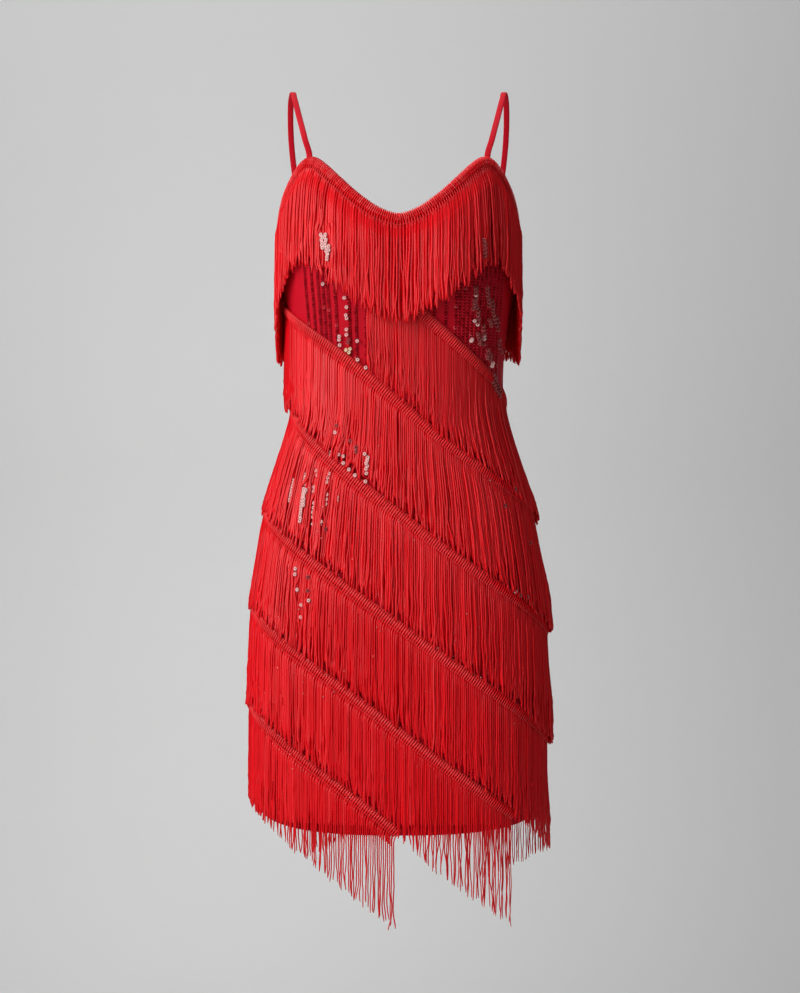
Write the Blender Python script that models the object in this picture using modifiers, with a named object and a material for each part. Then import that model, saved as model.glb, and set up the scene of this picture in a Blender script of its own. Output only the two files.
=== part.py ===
"""A sleeveless fringe dance dress, worn shape, open at neck, armholes and hem.

Front and back walls of stretch cloth are joined at the side seams. Two narrow straps go over the
shoulders. Bands of fringe go round the neck and armholes, along the top of the back, and in four
spirals round the body. Every band of fringe is a thin comb: a strip that lies on the cloth, with
flat locks hanging from its lower edge.

Metres, +Z up. The front of the dress faces -Y and the wearer's left side is at +X. The origin is
midway between the tops of the straps, where they rest on the shoulders. A turn is an angle in
degrees round the body: 0 is the front centre, 90 the +X side seam, 180 the back centre.
"""

import math
from collections import namedtuple

import bpy
import numpy as np

# Driving dimensions
WALL = 0.0015              # stretch cloth
SEAM_GAP = 0.0003          # between pieces at a seam
SEAM_TURN = 0.08           # half of the side seam's gap, in degrees of turn
LIE = 0.0008               # how far a band lies off the cloth's face
BAND_WIDTH = 0.0125        # height of a fringe band, across its own run
BAND_THICK = 0.0020
FRINGE_DROP = 0.1140       # from the middle of a band down to the tips
LOCK_SHARE = 0.84          # a lock's part of its facet of the wall, at its root
TIP_TAPER = 0.72           # width of a lock's tip, as a part of its root's
LOCK_STEPS = 4             # straight stretches in a lock
TIP_CLEAR = 0.0025         # tips end this far above the next band
LONG_AND_SHORT = 0.0035    # alternate locks differ by this length
LOCK_LIFT = 0.0012         # how much further off the cloth a lock hangs than its band
OVER_LIFT = 0.0042         # the same for the locks that hang over another band
EDGE_DROP = 0.0008         # a neck or back band's top is this far below the cloth's edge
HAIR = 1e-6                # turn by which a band's end keeps off the line between two facets
INNER_COLUMNS = 6          # wall facets from a panel's centre line to its strap
OUTER_COLUMNS = 4          # and from the strap to the side seam
LEVEL_LOW, LEVEL_HIGH = -0.760, -0.220   # between these the wall's rows are level
HEM_ROWS, LEVEL_ROWS, TOP_ROWS = 3, 18, 4
EVEN_HEIGHT = -0.450       # facets are evenly wide at this height
CORNER = 2.3               # 2 would make each ring an ellipse, more makes it squarer
HEM_LOW = -0.839           # hem at the front and back centre
HEM_RISE = 0.045           # how much higher the hem is at the side seams
HEM_POWER = 2.8

# Rings of the body, from the hem up: half the width, and how deep the front and the back are
Ring = namedtuple("Ring", "height half_width front back")
RINGS = [
    Ring(-0.860, 0.1645, 0.0960, 0.1020),
    Ring(-0.820, 0.1655, 0.0970, 0.1040),
    Ring(-0.760, 0.1670, 0.0990, 0.1080),
    Ring(-0.700, 0.1685, 0.1010, 0.1130),
    Ring(-0.640, 0.1680, 0.1020, 0.1180),
    Ring(-0.585, 0.1660, 0.1020, 0.1210),
    Ring(-0.540, 0.1605, 0.1010, 0.1210),
    Ring(-0.505, 0.1555, 0.1000, 0.1190),
    Ring(-0.470, 0.1490, 0.0980, 0.1140),
    Ring(-0.435, 0.1395, 0.0950, 0.1060),
    Ring(-0.400, 0.1290, 0.0920, 0.0970),
    Ring(-0.370, 0.1215, 0.0900, 0.0900),
    Ring(-0.340, 0.1200, 0.0890, 0.0860),
    Ring(-0.300, 0.1215, 0.0930, 0.0880),
    Ring(-0.260, 0.1265, 0.1010, 0.0910),
    Ring(-0.225, 0.1330, 0.1110, 0.0940),
    Ring(-0.190, 0.1365, 0.1155, 0.0950),
    Ring(-0.155, 0.1365, 0.1150, 0.0940),
    Ring(-0.120, 0.1345, 0.1120, 0.0920),
    Ring(-0.085, 0.1295, 0.1070, 0.0900),
    Ring(-0.060, 0.1260, 0.1000, 0.0880),
]

# The two cups cut into the front
Cup = namedtuple("Cup", "side height fullness reach_across reach_up")
CUP = Cup(side=0.068, height=-0.205, fullness=0.011, reach_across=0.042, reach_up=0.046)

# Top edges, the same on both sides of the centre; turn counts from the centre of that panel
Edge = namedtuple("Edge", "turn height")
FRONT_EDGE = [
    Edge(0, -0.1522), Edge(3, -0.1508), Edge(10, -0.1440), Edge(20, -0.1275), Edge(30, -0.1072),
    Edge(38, -0.0925), Edge(43, -0.0860), Edge(47, -0.0845), Edge(51, -0.0872), Edge(56, -0.0965),
    Edge(61, -0.1085), Edge(67, -0.1235), Edge(73, -0.1410), Edge(79, -0.1600), Edge(84, -0.1775),
    Edge(90, -0.1900),
]
BACK_EDGE = [
    Edge(0, -0.1960), Edge(20, -0.1935), Edge(40, -0.1860), Edge(52, -0.1815), Edge(64, -0.1835),
    Edge(78, -0.1880), Edge(90, -0.1900),
]

# Spirals of fringe: the middle of each band at quarter turns, and the turns where it starts and ends
Spiral = namedtuple("Spiral", "name start end first_quarter heights")
SPIRALS = [
    Spiral("fringe_spiral_1", -13, 408, -90, [-0.121, -0.239, -0.357, -0.470, -0.582, -0.724, -0.864]),
    Spiral("fringe_spiral_2", 233, 720, 180, [-0.142, -0.247, -0.357, -0.485, -0.589, -0.693, -0.836]),
    Spiral("fringe_spiral_3", 168, 580, 90, [-0.145, -0.252, -0.360, -0.482, -0.619, -0.725, -0.832]),
    Spiral("fringe_spiral_4", 113, 508, 90, [-0.260, -0.367, -0.475, -0.606, -0.743, -0.850]),
]
QUARTER = 90
STEADY_SHARE = 0.25        # of a quarter's fall, this part goes evenly with the turn

# One strap, on the +X side: the middle of its underside, from inside the front to inside the back
StrapPoint = namedtuple("StrapPoint", "side depth height")
STRAP_WIDTH = 0.0068
STRAP_THICK = 0.0018
STRAP_LAP = 0.012          # length sewn down inside each panel
STRAP_ASIDE = 2.6          # turn from the strap's middle to the nearest line between facets
STRAP_FRONT_TURN = 49
STRAP_BACK_TURN = 180 - 52
STRAP_OVER_SHOULDER = [
    StrapPoint(0.1048, -0.0680, -0.0630),
    StrapPoint(0.1124, -0.0440, -0.0340),
    StrapPoint(0.1185, -0.0220, -0.0105),
    StrapPoint(0.1215, -0.0020, 0.0000),
    StrapPoint(0.1245, 0.0180, -0.0070),
    StrapPoint(0.1260, 0.0380, -0.0240),
    StrapPoint(0.1260, 0.0560, -0.0460),
    StrapPoint(0.1240, 0.0690, -0.0720),
    StrapPoint(0.1200, 0.0770, -0.1020),
    StrapPoint(0.1150, 0.0790, -0.1400),
]
STRAP_LOOP_CENTRE = -0.110  # height of the point that the strap's loop bends round


def clear_scene():
    for obj in list(bpy.data.objects):
        bpy.data.objects.remove(obj)


def smooth_through(places, values, at):
    """A smooth curve through a table's points: cubic stretches with shared slopes."""
    places, values, at = np.asarray(places), np.asarray(values), np.asarray(at, float)
    slopes = np.gradient(values, places)
    left = np.clip(np.searchsorted(places, at) - 1, 0, len(places) - 2)
    span = places[left + 1] - places[left]
    part = (at - places[left]) / span
    rise = values[left + 1] - values[left]
    ease = part * part * (3 - 2 * part)
    leave = part * (1 - part) ** 2 * span * slopes[left]
    arrive = part * part * (part - 1) * span * slopes[left + 1]
    return values[left] + ease * rise + leave + arrive


def body(column, height):
    places = [ring.height for ring in RINGS]
    return smooth_through(places, [getattr(ring, column) for ring in RINGS], height)


def on_ring(turn, height):
    """Points on the cloth's outer face, without the cups: each ring is a squared ellipse."""
    angle = np.radians(turn)
    across, along = np.sin(angle), np.cos(angle)
    reach = (abs(across) ** CORNER + abs(along) ** CORNER) ** (-1 / CORNER)
    depth = np.where(along > 0, body("front", height), body("back", height))
    return body("half_width", height) * reach * across, -depth * reach * along


def cup_fullness(side, height):
    """How far the two cups stand forward of the plain ring."""
    across = (abs(side) - CUP.side) / CUP.reach_across
    up = (height - CUP.height) / CUP.reach_up
    return CUP.fullness * np.exp(-across**2 - up**2)


def cloth(turn, height, out=0.0):
    """Points of the cloth's outer face, moved out by a distance along the level normal."""
    turn, height = np.broadcast_arrays(np.asarray(turn, float), np.asarray(height, float))
    side, depth = on_ring(turn, height)
    depth = depth - np.where(np.cos(np.radians(turn)) > 0, cup_fullness(side, height), 0)
    step = 0.5
    ahead, behind = on_ring(turn + step, height), on_ring(turn - step, height)
    run_side, run_depth = ahead[0] - behind[0], ahead[1] - behind[1]
    length = np.hypot(run_side, run_depth)
    side = side + out * run_depth / length
    depth = depth - out * run_side / length
    return np.stack([side, depth, height], axis=-1)


def edge_height(edges, turn):
    return smooth_through([e.turn for e in edges], [e.height for e in edges], abs(turn))


def hem_height(turn):
    """The hem rises towards the side seams; turn counts from the centre of the panel."""
    return HEM_LOW + HEM_RISE * (abs(turn) / QUARTER) ** HEM_POWER


def fall_share(quarter_part):
    """How much of a quarter's fall is done at this part of it, counted from the front or back centre."""
    swung = np.sin(quarter_part * math.pi / 2)
    return STEADY_SHARE * quarter_part + (1 - STEADY_SHARE) * swung


def spiral_height(spiral, turn):
    """Height of a spiral's middle: eased between the centres and the side seams."""
    turn = np.asarray(turn, float)
    index = np.floor((turn - spiral.first_quarter) / QUARTER).astype(int)
    index = np.clip(index, 0, len(spiral.heights) - 2)
    before, after = np.array(spiral.heights)[index], np.array(spiral.heights)[index + 1]
    part = (turn - spiral.first_quarter) / QUARTER - index
    centre_first = (spiral.first_quarter // QUARTER + index) % 2 == 0
    share = np.where(centre_first, fall_share(part), 1 - fall_share(1 - part))
    return before + (after - before) * share


def half_band(slope_of, turn):
    """Half of a band's height, measured straight up and down at a slanting stretch."""
    step = 1.0
    low, high = slope_of(turn - step), slope_of(turn + step)
    run = np.linalg.norm(cloth(turn + step, high) - cloth(turn - step, high), axis=-1)
    return BAND_WIDTH / 2 * np.sqrt(1 + ((high - low) / run) ** 2)


def material(name, colour, roughness):
    made = bpy.data.materials.new(name)
    made.use_nodes = True
    shader = made.node_tree.nodes["Principled BSDF"]
    shader.inputs["Base Color"].default_value = (*colour, 1)
    shader.inputs["Roughness"].default_value = roughness
    shader.inputs["Metallic"].default_value = 0.0
    return made


def add_sheet(name, points, faces, thickness, made_of, inward=False):
    """An open surface given a thickness, as one closed piece of cloth or trim."""
    mesh = bpy.data.meshes.new(name)
    mesh.from_pydata([tuple(p) for p in points], [], faces)
    mesh.update()
    mesh.shade_smooth()
    mesh.set_sharp_from_angle(angle=math.radians(50))
    mesh.materials.append(made_of)
    obj = bpy.data.objects.new(name, mesh)
    dress.objects.link(obj)
    solidify = obj.modifiers.new("Solidify", "SOLIDIFY")
    solidify.thickness = thickness
    solidify.offset = -1 if inward else 1
    solidify.use_even_offset = not inward
    return obj


Wall = namedtuple("Wall", "centre turns heights points")


def plan_wall(centre, edges, strap_turn):
    """Corners of a wall's facets: column lines evenly spaced along the cloth, rows from hem to top edge."""
    ends = (0, strap_turn - STRAP_ASIDE, QUARTER - SEAM_TURN)
    half = [np.array([0.0])]
    for start, end, count in zip(ends, ends[1:], (INNER_COLUMNS, OUTER_COLUMNS)):
        fine = np.linspace(start, end, 90)
        steps = np.diff(cloth(centre + fine, EVEN_HEIGHT), axis=0)
        along = np.concatenate([[0], np.cumsum(np.linalg.norm(steps, axis=1))])
        half.append(np.interp(np.linspace(0, along[-1], count + 1)[1:], along, fine))
    half = np.concatenate(half)
    turns = np.concatenate([-half[:0:-1], half])
    level = np.ones_like(turns)
    heights = np.concatenate([
        np.linspace(hem_height(turns), LEVEL_LOW * level, HEM_ROWS, endpoint=False),
        np.linspace(LEVEL_LOW * level, LEVEL_HIGH * level, LEVEL_ROWS, endpoint=False),
        np.linspace(LEVEL_HIGH * level, edge_height(edges, turns), TOP_ROWS + 1),
    ])
    return Wall(centre, turns, heights, cloth(centre + turns, heights))


def lay(turn, height, out):
    """Points on the walls' flat facets, moved out level from the facet that each one is on."""
    turn, height = np.broadcast_arrays(np.asarray(turn, float), np.asarray(height, float))
    points = np.empty((*turn.shape, 3))
    for wall in (FRONT, BACK):
        own_turn = (turn - wall.centre + 180) % 360 - 180
        column = np.clip(np.searchsorted(wall.turns, own_turn) - 1, 0, len(wall.turns) - 2)
        width = wall.turns[column + 1] - wall.turns[column]
        across = (own_turn - wall.turns[column]) / width
        rows = wall.heights[:, column] * (1 - across) + wall.heights[:, column + 1] * across
        row = np.clip((rows <= height).sum(axis=0) - 1, 0, len(rows) - 2)
        low = np.take_along_axis(rows, row[None], axis=0)[0]
        high = np.take_along_axis(rows, row[None] + 1, axis=0)[0]
        up, across = ((height - low) / (high - low))[..., None], across[..., None]
        left = wall.points[row, column] * (1 - up) + wall.points[row + 1, column] * up
        right = wall.points[row, column + 1] * (1 - up) + wall.points[row + 1, column + 1] * up
        run = right - left
        level = np.stack([run[..., 1], -run[..., 0], 0 * run[..., 0]], axis=-1)
        level /= np.linalg.norm(level, axis=-1)[..., None]
        found = left + run * across + level * np.asarray(out)[..., None]
        points = np.where((abs(own_turn) <= QUARTER)[..., None], found, points)
    return points


def add_wall(name, wall, made_of):
    """Front or back of the dress, from hem to top edge and from seam to seam."""
    across = len(wall.turns)
    faces = [
        (j * across + i, j * across + i + 1, (j + 1) * across + i + 1, (j + 1) * across + i)
        for j in range(len(wall.heights) - 1)
        for i in range(across - 1)
    ]
    return add_sheet(name, wall.points.reshape(-1, 3), faces, WALL, made_of, inward=True)


def facets_between(start, end):
    """The wall facets, as pairs of turns, whose middles lie between two turns."""
    found = []
    for round_number in range(-1, 3):
        for wall in (FRONT, BACK):
            lines = wall.turns + wall.centre + 360 * round_number
            found += [pair for pair in zip(lines, lines[1:]) if start < sum(pair) / 2 < end]
    return sorted(found)


def next_band_top(turn, height):
    """Top edge of the highest spiral band that crosses this turn below a height, or far below."""
    tops = [HEM_LOW - 1]
    for spiral in SPIRALS:
        first = turn + 360 * math.ceil((spiral.start - turn) / 360)
        for crossing in np.arange(first, spiral.end, 360):
            middle = spiral_height(spiral, crossing)
            if middle < height - BAND_WIDTH:
                tops.append(middle + half_band(lambda t: spiral_height(spiral, t), crossing))
    return max(tops)


def hanging_line(turn, top, bottom, lift):
    """A lock's inner face: it follows the cloth, and hangs straight down where the cloth falls away."""
    share = np.linspace(0, 1, 6 * LOCK_STEPS + 1)
    heights = top + (bottom - top) * share
    line = lay(turn, heights, LIE + lift * np.clip(6 * share, 0, 1))
    for axis in (0, 1):
        sign = np.sign(line[0, axis])
        line[:, axis] = sign * np.maximum.accumulate(sign * line[:, axis])
    return line[::6]


def add_fringe(name, start, end, middle_of, half_of, lift, over_all, made_of):
    """A band on the cloth with locks along its lower edge, as one comb: one lock to each wall facet."""
    points, faces = [], []

    def add_strip(turn):
        middle, half = middle_of(turn), half_of(turn)
        points.extend([lay(turn, middle + half, LIE), lay(turn, middle - half, LIE)])
        if len(points) > 2:
            new = len(points) - 2
            faces.append((last + 1, new + 1, new, last))
        return len(points) - 2

    last = 0
    facets = facets_between(start, end)
    inset = (1 - LOCK_SHARE) / 2
    for number, (left, right) in enumerate(facets):
        width = right - left
        if number == 0:
            last = add_strip(left + HAIR)
        pair = (left + inset * width, right - inset * width)
        last = add_strip(pair[0])
        roots = [last + 1, last + 3]
        last = add_strip(pair[1])
        lines = []
        for turn in pair:
            middle = middle_of(turn)
            tip = middle - FRINGE_DROP + LONG_AND_SHORT * (number % 2)
            if not over_all:
                tip = max(tip, next_band_top(turn, middle) + TIP_CLEAR)
            lines.append(hanging_line(turn, middle - half_of(turn), tip, lift))
        taper = np.linspace(1, TIP_TAPER, LOCK_STEPS + 1)[:, None]
        centre = (lines[0] + lines[1]) / 2
        lines = [centre + (line - centre) * taper for line in lines]
        for step in range(1, LOCK_STEPS + 1):
            points.extend([lines[0][step], lines[1][step]])
            lower = (len(points) - 2, len(points) - 1)
            faces.append((*lower, roots[1], roots[0]))
            roots = lower
        if number == len(facets) - 1:
            last = add_strip(right - HAIR)
    return add_sheet(name, points, faces, BAND_THICK, made_of)


def add_edge_fringe(name, centre, edges, made_of):
    """Fringe whose band runs just under a top edge."""
    def top(turn):
        return edge_height(edges, turn - centre) - EDGE_DROP

    def half(turn):
        return half_band(top, turn)

    def middle(turn):
        return top(turn) - half(turn)

    start, end = centre - QUARTER, centre + QUARTER
    return add_fringe(name, start, end, middle, half, OVER_LIFT, True, made_of)


def add_spiral_fringe(spiral, made_of):
    def middle(turn):
        return spiral_height(spiral, turn)

    def half(turn):
        return half_band(middle, turn)

    return add_fringe(spiral.name, spiral.start, spiral.end, middle, half, LOCK_LIFT, False, made_of)


def strap_line():
    """Points along the middle of a strap's underside, with its two laps inside the panels."""
    inside = -(WALL + SEAM_GAP + STRAP_THICK)
    front_top = edge_height(FRONT_EDGE, STRAP_FRONT_TURN)
    back_top = edge_height(BACK_EDGE, 180 - STRAP_BACK_TURN)
    front = [lay(STRAP_FRONT_TURN, front_top - STRAP_LAP * k, inside) for k in (1.0, 0.5, -0.1)]
    back = [lay(STRAP_BACK_TURN, back_top - STRAP_LAP * k, inside) for k in (-0.1, 0.5, 1.0)]
    over = [np.array(point) for point in STRAP_OVER_SHOULDER]
    knots = np.array(front + over + back)
    along = np.concatenate([[0], np.cumsum(np.linalg.norm(np.diff(knots, axis=0), axis=1))])
    at = np.linspace(0, along[-1], 46)
    return np.stack([smooth_through(along, knots[:, k], at) for k in range(3)], axis=1)


def add_strap(name, mirror, made_of):
    """A flat strap: a ribbon that faces away from the middle of its own loop."""
    line = strap_line()
    ahead = np.gradient(line, axis=0)
    ahead /= np.linalg.norm(ahead, axis=1)[:, None]
    away = line - np.array([0, 0, STRAP_LOOP_CENTRE])
    away[:, 0] = 0
    away -= (away * ahead).sum(axis=1)[:, None] * ahead
    away /= np.linalg.norm(away, axis=1)[:, None]
    across = np.cross(ahead, away) * STRAP_WIDTH / 2
    for end, turn in ((0, STRAP_FRONT_TURN), (-1, STRAP_BACK_TURN)):
        lapped = np.arange(5) if end == 0 else np.arange(len(line) - 5, len(line))
        beside = lay(turn + 1, line[lapped, 2], 0.0) - lay(turn - 1, line[lapped, 2], 0.0)
        beside /= np.linalg.norm(beside, axis=1)[:, None]
        sign = np.sign((across[lapped] * beside).sum(axis=1))[:, None]
        across[lapped] = sign * beside * STRAP_WIDTH / 2
    points = np.concatenate([line - across, line + across])
    if mirror:
        points[:, 0] *= -1
    count = len(line)
    faces = [(i, i + 1, count + i + 1, count + i) for i in range(count - 1)]
    if not mirror:
        faces = [face[::-1] for face in faces]
    return add_sheet(name, points, faces, STRAP_THICK, made_of)


clear_scene()
dress = bpy.data.collections.new("fringe_dance_dress")
bpy.context.scene.collection.children.link(dress)

stretch_cloth = material("stretch_cloth", (0.46, 0.006, 0.014), 0.5)
fringe_yarn = material("fringe_yarn", (0.62, 0.008, 0.016), 0.42)
strap_cloth = material("strap_cloth", (0.50, 0.008, 0.016), 0.45)

FRONT = plan_wall(0, FRONT_EDGE, STRAP_FRONT_TURN)
BACK = plan_wall(180, BACK_EDGE, 180 - STRAP_BACK_TURN)
add_wall("front_panel", FRONT, stretch_cloth)
add_wall("back_panel", BACK, stretch_cloth)
add_strap("strap_left", False, strap_cloth)
add_strap("strap_right", True, strap_cloth)
add_edge_fringe("fringe_neck", FRONT.centre, FRONT_EDGE, fringe_yarn)
add_edge_fringe("fringe_back_top", BACK.centre, BACK_EDGE, fringe_yarn)
for spiral in SPIRALS:
    add_spiral_fringe(spiral, fringe_yarn)
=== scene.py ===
# %% [markdown]
# # A fringe dance dress
# The dress is stretch cloth with bands of long yarn fringe sewn round it. The solids of the part give
# its true size and form. This file dresses them: it loads the solids as a fixed frame, then adds thin
# cloth, strands of yarn, stitching and sequins where the solids say they go.

# %% Load the frame
import math
from collections import namedtuple

import bpy
import numpy as np
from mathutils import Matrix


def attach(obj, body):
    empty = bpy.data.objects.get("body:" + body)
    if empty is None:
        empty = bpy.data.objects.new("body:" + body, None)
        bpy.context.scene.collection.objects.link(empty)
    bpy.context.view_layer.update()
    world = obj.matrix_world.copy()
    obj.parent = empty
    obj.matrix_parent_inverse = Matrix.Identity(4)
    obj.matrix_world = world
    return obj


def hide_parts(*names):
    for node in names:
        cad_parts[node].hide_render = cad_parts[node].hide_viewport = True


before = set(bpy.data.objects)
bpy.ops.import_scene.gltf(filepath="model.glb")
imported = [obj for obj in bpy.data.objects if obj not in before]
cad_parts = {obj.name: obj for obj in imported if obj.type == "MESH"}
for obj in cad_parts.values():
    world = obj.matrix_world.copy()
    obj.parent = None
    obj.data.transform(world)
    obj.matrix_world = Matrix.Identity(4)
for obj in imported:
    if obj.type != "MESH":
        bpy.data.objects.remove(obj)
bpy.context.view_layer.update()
rng = np.random.default_rng(34)
print("nodes:", ", ".join(sorted(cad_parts)))

# %% [markdown]
# ## The camera
# The picture was taken from straight ahead, level with the waist, with a long lens, as shops do to keep
# a garment's proportions true. Such a camera is one distance and one lens, worked out from the size of
# the dress in the picture: at the shoulders' depth 1 pixel is 1.15 mm.

# %% Camera
DISTANCE = 2.70
EYE_SIDE, EYE_HEIGHT = 0.0017, -0.4629
METRES_PER_PIXEL = 0.00115
LONG_SIDE_PIXELS = 993
SENSOR_MM = 36.0

view = bpy.data.cameras.new("camera")
view.sensor_width = SENSOR_MM
view.lens = SENSOR_MM * DISTANCE / (LONG_SIDE_PIXELS * METRES_PER_PIXEL)
camera = bpy.data.objects.new("camera", view)
camera.location = (EYE_SIDE, -DISTANCE, EYE_HEIGHT)
camera.rotation_euler = (math.radians(90), 0, 0)
bpy.context.scene.collection.objects.link(camera)
bpy.context.scene.camera = camera
bpy.context.scene.view_settings.view_transform = "Standard"
print(f"lens {view.lens:.1f} mm at {DISTANCE} m")

# %% [markdown]
# ## The form of the dress
# Every piece lies on one surface, so that surface comes first. It is the part's own: level rings, each a
# squared ellipse, whose half width, front depth and back depth change smoothly with height. A place on
# it is a turn in degrees round the body, 0 at the front centre and 90 at the +X side seam, and a height.

# %% Rings of the body
# height, half width, depth of the front, depth of the back, in metres
RINGS = np.array([
    [-0.860, 0.1645, 0.0960, 0.1020], [-0.820, 0.1655, 0.0970, 0.1040],
    [-0.760, 0.1670, 0.0990, 0.1080], [-0.700, 0.1685, 0.1010, 0.1130],
    [-0.640, 0.1680, 0.1020, 0.1180], [-0.585, 0.1660, 0.1020, 0.1210],
    [-0.540, 0.1605, 0.1010, 0.1210], [-0.505, 0.1555, 0.1000, 0.1190],
    [-0.470, 0.1490, 0.0980, 0.1140], [-0.435, 0.1395, 0.0950, 0.1060],
    [-0.400, 0.1290, 0.0920, 0.0970], [-0.370, 0.1215, 0.0900, 0.0900],
    [-0.340, 0.1200, 0.0890, 0.0860], [-0.300, 0.1215, 0.0930, 0.0880],
    [-0.260, 0.1265, 0.1010, 0.0910], [-0.225, 0.1330, 0.1110, 0.0940],
    [-0.190, 0.1365, 0.1155, 0.0950], [-0.155, 0.1365, 0.1150, 0.0940],
    [-0.120, 0.1345, 0.1120, 0.0920], [-0.085, 0.1295, 0.1070, 0.0900],
    [-0.060, 0.1260, 0.1000, 0.0880]])
CORNER = 2.3
CUP_SIDE, CUP_HEIGHT, CUP_FULLNESS, CUP_ACROSS, CUP_UP = 0.068, -0.205, 0.011, 0.042, 0.046


def smooth_through(places, values, at):
    """Cubic stretches through a table's points, each with the slope that its neighbours share."""
    places, values, at = np.asarray(places, float), np.asarray(values, float), np.asarray(at, float)
    slopes = np.gradient(values, places)
    left = np.clip(np.searchsorted(places, at) - 1, 0, len(places) - 2)
    span = places[left + 1] - places[left]
    part = (at - places[left]) / span
    rise = values[left + 1] - values[left]
    leave = part * (1 - part) ** 2 * span * slopes[left]
    arrive = part * part * (part - 1) * span * slopes[left + 1]
    return values[left] + part * part * (3 - 2 * part) * rise + leave + arrive


def unit(directions):
    """Directions scaled to length 1."""
    return directions / np.linalg.norm(directions, axis=-1, keepdims=True)


def run_lengths(points, axis=0):
    """Length of the way along rows of points, counted from 0 at the first."""
    steps = np.linalg.norm(np.diff(points, axis=axis), axis=-1)
    start = np.zeros_like(np.take(steps, [0], axis=axis))
    return np.concatenate([start, np.cumsum(steps, axis=axis)], axis=axis)


def ring_point(turn, height):
    """Reach is 1 over the CORNER-th root of |sin|^CORNER + |cos|^CORNER of the turn."""
    level = np.clip(height, RINGS[0, 0], RINGS[-1, 0])
    width, front, back = (smooth_through(RINGS[:, 0], RINGS[:, k], level) for k in (1, 2, 3))
    across, along = np.sin(np.radians(turn)), np.cos(np.radians(turn))
    reach = (abs(across) ** CORNER + abs(along) ** CORNER) ** (-1 / CORNER)
    side = width * reach * across
    depth = -np.where(along > 0, front, back) * reach * along
    far = ((abs(side) - CUP_SIDE) / CUP_ACROSS) ** 2 + ((height - CUP_HEIGHT) / CUP_UP) ** 2
    return side, depth - np.where(along > 0, CUP_FULLNESS * np.exp(-far), 0)


def outward(turn, height):
    """The level direction away from the body, at right angles to the ring."""
    ahead, behind = ring_point(turn + 0.5, height), ring_point(turn - 0.5, height)
    run_side, run_depth = ahead[0] - behind[0], ahead[1] - behind[1]
    length = np.hypot(run_side, run_depth)
    return np.stack([run_depth / length, -run_side / length, 0 * length], axis=-1)


def on_cloth(turn, height, out=0.0):
    """A point of the ring at this turn and height, moved out by a distance along outward."""
    turn, height = np.broadcast_arrays(np.asarray(turn, float), np.asarray(height, float))
    side, depth = ring_point(turn, height)
    return np.stack([side, depth, height], axis=-1) + outward(turn, height) * np.asarray(out)[..., None]


def turn_at(side, height):
    """Turn of the front place this far to the side: the ring's formula solved for the turn."""
    level = np.clip(height, RINGS[0, 0], RINGS[-1, 0])
    share = np.clip(np.asarray(side) / smooth_through(RINGS[:, 0], RINGS[:, 1], level), -0.999, 0.999)
    return np.degrees(np.arctan2(share, (1 - abs(share) ** CORNER) ** (1 / CORNER)))


def turn_seen(side, height, out):
    """Turn of the front place that shows this far to the side once it stands out from the cloth."""
    lean = outward(turn_at(side, height), height)[..., 0]
    return turn_at(side - out * lean, height)


WAIST = -0.345
waist = on_cloth(np.linspace(0, 360, 721), WAIST)
print(f"waist {run_lengths(waist)[-1] * 100:.1f} cm round")

# %% [markdown]
# ## Edges and spirals
# The neck is a soft V between two peaks, the armholes drop from the peaks to the side seams, and the back
# is cut low. The hem is level and rises a little at the sides. Four bands of fringe wind down round the
# body. A band's height is given at each quarter turn, and it falls fastest as it crosses the front and
# back, so a quarter of the fall goes evenly with the turn and the rest with its sine.

# %% Edges and spirals
FRONT_EDGE = np.array([
    [0, -0.1522], [3, -0.1508], [10, -0.1440], [20, -0.1275], [30, -0.1072], [38, -0.0925],
    [43, -0.0860], [47, -0.0845], [51, -0.0872], [56, -0.0965], [61, -0.1085], [67, -0.1235],
    [73, -0.1410], [79, -0.1600], [84, -0.1775], [90, -0.1900]])
BACK_EDGE = np.array([
    [0, -0.1960], [20, -0.1935], [40, -0.1860], [52, -0.1815], [64, -0.1835], [78, -0.1880],
    [90, -0.1900]])
HEM_LOW, HEM_RISE, HEM_POWER = -0.839, 0.045, 2.8
QUARTER, STEADY_SHARE = 90, 0.25
# name: (turn where it starts, where it ends, turn of the first height, heights at quarter turns)
SPIRALS = {
    "fringe_spiral_1": (-13, 408, -90, [-0.121, -0.239, -0.357, -0.470, -0.582, -0.724, -0.864]),
    "fringe_spiral_2": (233, 720, 180, [-0.142, -0.247, -0.357, -0.485, -0.589, -0.693, -0.836]),
    "fringe_spiral_3": (168, 580, 90, [-0.145, -0.252, -0.360, -0.482, -0.619, -0.725, -0.832]),
    "fringe_spiral_4": (113, 508, 90, [-0.260, -0.367, -0.475, -0.606, -0.743, -0.850]),
}


def edge_height(edge, turn):
    """Height of a top edge; turn counts from the centre of that panel, the same on both sides."""
    return smooth_through(edge[:, 0], edge[:, 1], abs(np.asarray(turn, float)))


def hem_height(turn):
    """The hem rises with a power of the turn's share of a quarter."""
    return HEM_LOW + HEM_RISE * (abs(np.asarray(turn, float)) / QUARTER) ** HEM_POWER


def fall_share(part):
    """Share of a quarter's fall that is done, counted from the front or back centre."""
    return STEADY_SHARE * part + (1 - STEADY_SHARE) * np.sin(part * math.pi / 2)


def spiral_height(spiral, turn):
    """Height of a band's middle at a turn, eased from one quarter's height to the next."""
    first, heights = spiral[2], np.array(spiral[3])
    index = np.clip(np.floor((turn - first) / QUARTER).astype(int), 0, len(heights) - 2)
    part = (turn - first) / QUARTER - index
    centre_first = (first // QUARTER + index) % 2 == 0
    share = np.where(centre_first, fall_share(part), 1 - fall_share(1 - part))
    return heights[index] + (heights[index + 1] - heights[index]) * share


print(f"{len(SPIRALS)} spirals, over {sum(s[1] - s[0] for s in SPIRALS.values()) / 360:.1f} turns in all")

# %% [markdown]
# ## Meshes from arrays
# A strand, a sequin and a panel are all rows of numbers. One helper puts such arrays into a mesh, and
# another sweeps a ring of points along many paths at once, so that hundreds of strands are one piece.

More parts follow.
